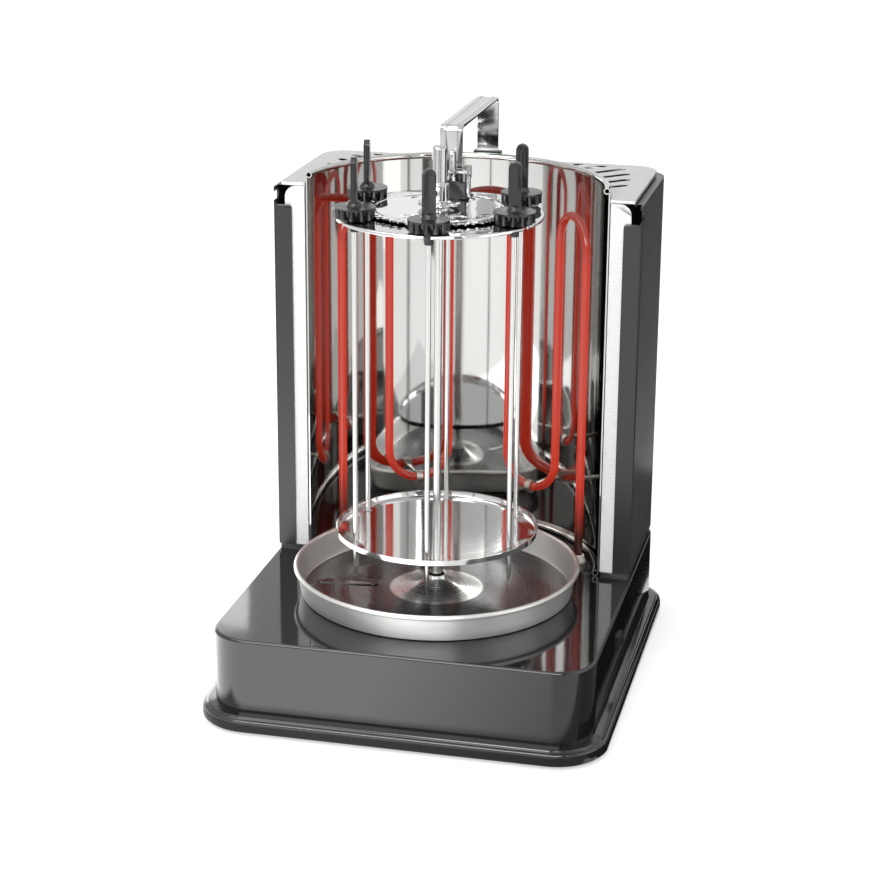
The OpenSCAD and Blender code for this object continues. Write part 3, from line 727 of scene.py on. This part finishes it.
for height in rim_heights:
    place = Matrix.Translation((rim_x, mirror_y, height)) @ Matrix.Rotation(math.pi / 2, 4, "X")
    circles = [
        bmesh.ops.create_circle(mirror, segments=28, radius=radius, matrix=place)["verts"]
        for radius in (rim_radius, rim_radius - rim_wall)
    ]
    # Each edge once, and in a fixed order
    loops = dict.fromkeys(edge for ring in circles for vert in ring for edge in vert.link_edges)
    bmesh.ops.bridge_loops(mirror, edges=list(loops))
bmesh.ops.rotate(
    mirror, verts=mirror.verts, cent=(0, mirror_y, 0), matrix=Matrix.Rotation(end_angle, 3, "Z")
)
bmesh.ops.spin(
    mirror, geom=mirror.verts[:] + mirror.edges[:] + mirror.faces[:], cent=(0, mirror_y, 0),
    axis=(0, 0, 1), angle=math.pi - 2 * end_angle, steps=120,
)
bmesh.ops.recalc_face_normals(mirror, faces=mirror.faces)
finish_node("reflector", mirror_stainless, mesh=mirror)


# ---- Heater ----
# A steel-sheathed tube heater in one run of hairpins, clipped to the reflector. It glows
# red, less in the upper bends; its ends stay dark where they enter the base.
heater_low, heater_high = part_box("heater")
dark_end = 0.03
full_heat = 0.075
upper_bend = 0.04
mottle_mm = 9
glowing_sheath, tree = blank_material("glowing_sheath")
sheath_height = add(tree, "SeparateXYZ", {0: place_of(tree)}).outputs["Z"]
heat = add(
    tree, "MapRange",
    {"Value": sheath_height, "From Min": heater_low.z + dark_end,
     "From Max": heater_low.z + full_heat, "To Min": 0.02, "To Max": 1.0},
)
cooler_bend = add(
    tree, "MapRange",
    {"Value": sheath_height, "From Min": heater_high.z - upper_bend,
     "From Max": heater_high.z, "To Min": 1.0, "To Max": 0.45},
)
glow = add(
    tree, "Math", {0: heat.outputs[0], 1: cooler_bend.outputs[0]}, operation="MULTIPLY"
)
mottle = add(
    tree, "TexNoise", {"Vector": place_of(tree), "Scale": 1000 / mottle_mm, "Detail": 3.0}
)
sheath = add(
    tree, "Mix", {"Factor": mottle.outputs[0], "A": linear("2c1410"), "B": linear("42221a")},
    data_type="RGBA",
)
look = add(
    tree, "BsdfPrincipled",
    {"Base Color": sheath.outputs["Result"], "Roughness": 0.22,
     "Emission Color": linear("bc2a14"), "Emission Strength": glow.outputs[0]},
)
add(tree, "OutputMaterial", {"Surface": look.outputs[0]})
finish_node("heater", glowing_sheath, crease=50)
for name in ("heater_clip_left", "heater_clip_right"):
    finish_node(name, zinc_plate)


# ---- Drip tray ----
# Spun from stainless sheet and laid loose on the base: fine rings from the spinning tool
# show on its floor and middle cone, and its wall is left brushed under a rolled rim.
carousel_y = (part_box("lower_plate")[0].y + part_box("lower_plate")[1].y) / 2


def spun_metal(name, hex_colour, roughness, ring_mm, depth_mm, spread, zones=None):
    """Metal with concentric tool marks round the carousel's axis, drawn coarser than life.

    Zones, where given, are an inner and an outer radius, the darker colour of the ring
    between them, which is painted shade for the dark parts that the ring mirrors, and the
    roughness of what is past the outer one, which is left brushed.
    """
    quarter_turn = 0.25
    material, tree = blank_material(name)
    centred = add(
        tree, "Mapping",
        {"Vector": place_of(tree), "Location": (0, -carousel_y, 0), "Scale": (1, 1, 0)},
    )
    radius = add(tree, "VectorMath", {0: centred.outputs[0]}, operation="LENGTH")
    rings = add(
        tree, "TexNoise",
        {"W": radius.outputs["Value"], "Scale": 1000 / ring_mm, "Detail": 3.0},
        noise_dimensions="1D",
    )
    polish = add(
        tree, "MapRange",
        {"Value": rings.outputs[0], "From Min": noise_low, "From Max": noise_high,
         "To Min": roughness * 0.7, "To Max": roughness * 1.4},
    )
    relief = add(
        tree, "Bump",
        {"Height": rings.outputs[0], "Strength": 0.5, "Distance": depth_mm / 1000},
    )
    round_axis = add(
        tree, "VectorMath", {0: (0, 0, 1), 1: centred.outputs[0]}, operation="CROSS_PRODUCT"
    )
    look = add(
        tree, "BsdfPrincipled",
        {"Base Color": linear(hex_colour), "Metallic": 1.0, "Roughness": polish.outputs[0],
         "Anisotropic": spread, "Anisotropic Rotation": quarter_turn,
         "Tangent": round_axis.outputs[0], "Normal": relief.outputs[0]},
    )
    if zones:
        inner, outer, painted_shade_hex, brushed = zones
        past_inner = add(
            tree, "MapRange",
            {"Value": radius.outputs["Value"],
             "From Min": inner - 0.001, "From Max": inner + 0.001},
        )
        before_outer = add(
            tree, "MapRange",
            {"Value": radius.outputs["Value"],
             "From Min": outer + 0.0005, "From Max": outer - 0.0005},
        )
        ring = add(
            tree, "Math", {0: past_inner.outputs[0], 1: before_outer.outputs[0]},
            operation="MULTIPLY",
        )
        # The ring takes the darker colour: painted shade, standing in for the dark parts it mirrors
        shade = add(
            tree, "Mix",
            {"Factor": ring.outputs[0], "A": linear(hex_colour), "B": linear(painted_shade_hex)},
            data_type="RGBA",
        )
        skin = add(
            tree, "Mix", {"Factor": before_outer.outputs[0], "A": brushed, "B": polish.outputs[0]},
            data_type="FLOAT",
        )
        tree.links.new(shade.outputs["Result"], look.inputs["Base Color"])
        tree.links.new(skin.outputs["Result"], look.inputs["Roughness"])
    add(tree, "OutputMaterial", {"Surface": look.outputs[0]})
    return material


# The floor between the cone's foot and the wall gets a darker grey: painted shade for the dark base
# of the column and the carousel's underside that it mirrors
cone_foot = 0.0362
floor_edge = 0.1036
wall_roughness = 0.42
spun_stainless = spun_metal(
    "spun_stainless", "d0d0ce", 0.2, ring_mm=1.0, depth_mm=0.0004, spread=0.8,
    zones=(cone_foot, floor_edge, "5c5c5c", wall_roughness),
)
finish_node("drip_tray", spun_stainless)


# ---- Carousel ----
# A drawn shaft carries the lower plate and the carrier disc, clamped by the hub cap with its
# tube, and the fixed gear lies over the disc. The pressings, in nickel or bright zinc plate,
# mirror with faint rings; the shaft is softer, with fine lines, and the chromed cap is clear.
nickel_plate = spun_metal(
    "nickel_plate", "cccccc", 0.07, ring_mm=1.5, depth_mm=0.0004, spread=0.4
)
for name in ("lower_plate", "carrier_disc"):
    finish_node(name, nickel_plate)
bright_zinc = spun_metal("bright_zinc", "e4e4e4", 0.06, ring_mm=1.2, depth_mm=0.0003, spread=0.3)
finish_node("sun_gear", bright_zinc)
chrome_plate = metal_finish("chrome_plate", "bababa", 0.06, along="z", depth_mm=0.0008)
drawn_stainless = metal_finish("drawn_stainless", "c6c6c4", 0.16, along="z")
for name in ("centre_shaft", "drive_spindle", "hub_spacer"):
    finish_node(name, drawn_stainless)
finish_node("hub_cap", chrome_plate)


# ---- Skewers and pinions ----
# Drawn stainless rods, each moulded into a pinion of black glass-filled nylon with a
# toothed drum and a flat handle. The nylon is smooth enough to catch a soft highlight.
pinion_nylon = moulded_plastic("pinion_nylon", "1a1a1c", 0.22, grit_mm=0.8)
for number in range(1, 7):
    finish_node(f"skewer_{number}", drawn_stainless)
    finish_node(f"pinion_{number}", pinion_nylon)


# ---- Support arm ----
# A chromed strap bent into an arch, its front end in a chromed clip on a black foot that
# pins the fixed gear, its rear end in a socket behind the reflector. Foot and socket are
# moulded in nylon, a plain soft black.
for name in ("arm_strap", "arm_clip", "arm_pin"):
    finish_node(name, chrome_plate)
# The clip's right cheek runs down beside the foot and flares out over the gear
foot_low, foot_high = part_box("arm_foot")
gear_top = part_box("sun_gear")[1].z
cheek_x = foot_high.x + 0.0006
cheek_inset = 0.0005
cheek_front = foot_low.y + cheek_inset
cheek_depth = foot_high.y - foot_low.y - 2 * cheek_inset
cheek_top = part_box("arm_clip")[0].z + 0.003
cheek_bend = gear_top + 0.003
cheek_flare = 0.003
cheek_end = gear_top + 0.0012
cheek_sheet = 0.0009
cheek = bmesh.new()
profile = [
    cheek.verts.new((cheek_x, cheek_front, cheek_top)),
    cheek.verts.new((cheek_x, cheek_front, cheek_bend)),
    cheek.verts.new((cheek_x + cheek_flare, cheek_front, cheek_end)),
]
strip = [cheek.edges.new(pair) for pair in zip(profile, profile[1:])]
drawn = bmesh.ops.extrude_edge_only(cheek, edges=strip)
moved = [item for item in drawn["geom"] if isinstance(item, bmesh.types.BMVert)]
bmesh.ops.translate(cheek, verts=moved, vec=(0, cheek_depth, 0))
bmesh.ops.recalc_face_normals(cheek, faces=cheek.faces)
piece = finish(cheek, "clip_cheek", chrome_plate, "arm")
wall = piece.modifiers.new("sheet", "SOLIDIFY")
wall.thickness = cheek_sheet
wall.offset = 0
arm_nylon = moulded_plastic("arm_nylon", "1a1a1a", 0.4)
finish_node("arm_foot", arm_nylon)
finish_node("arm_socket", arm_nylon)
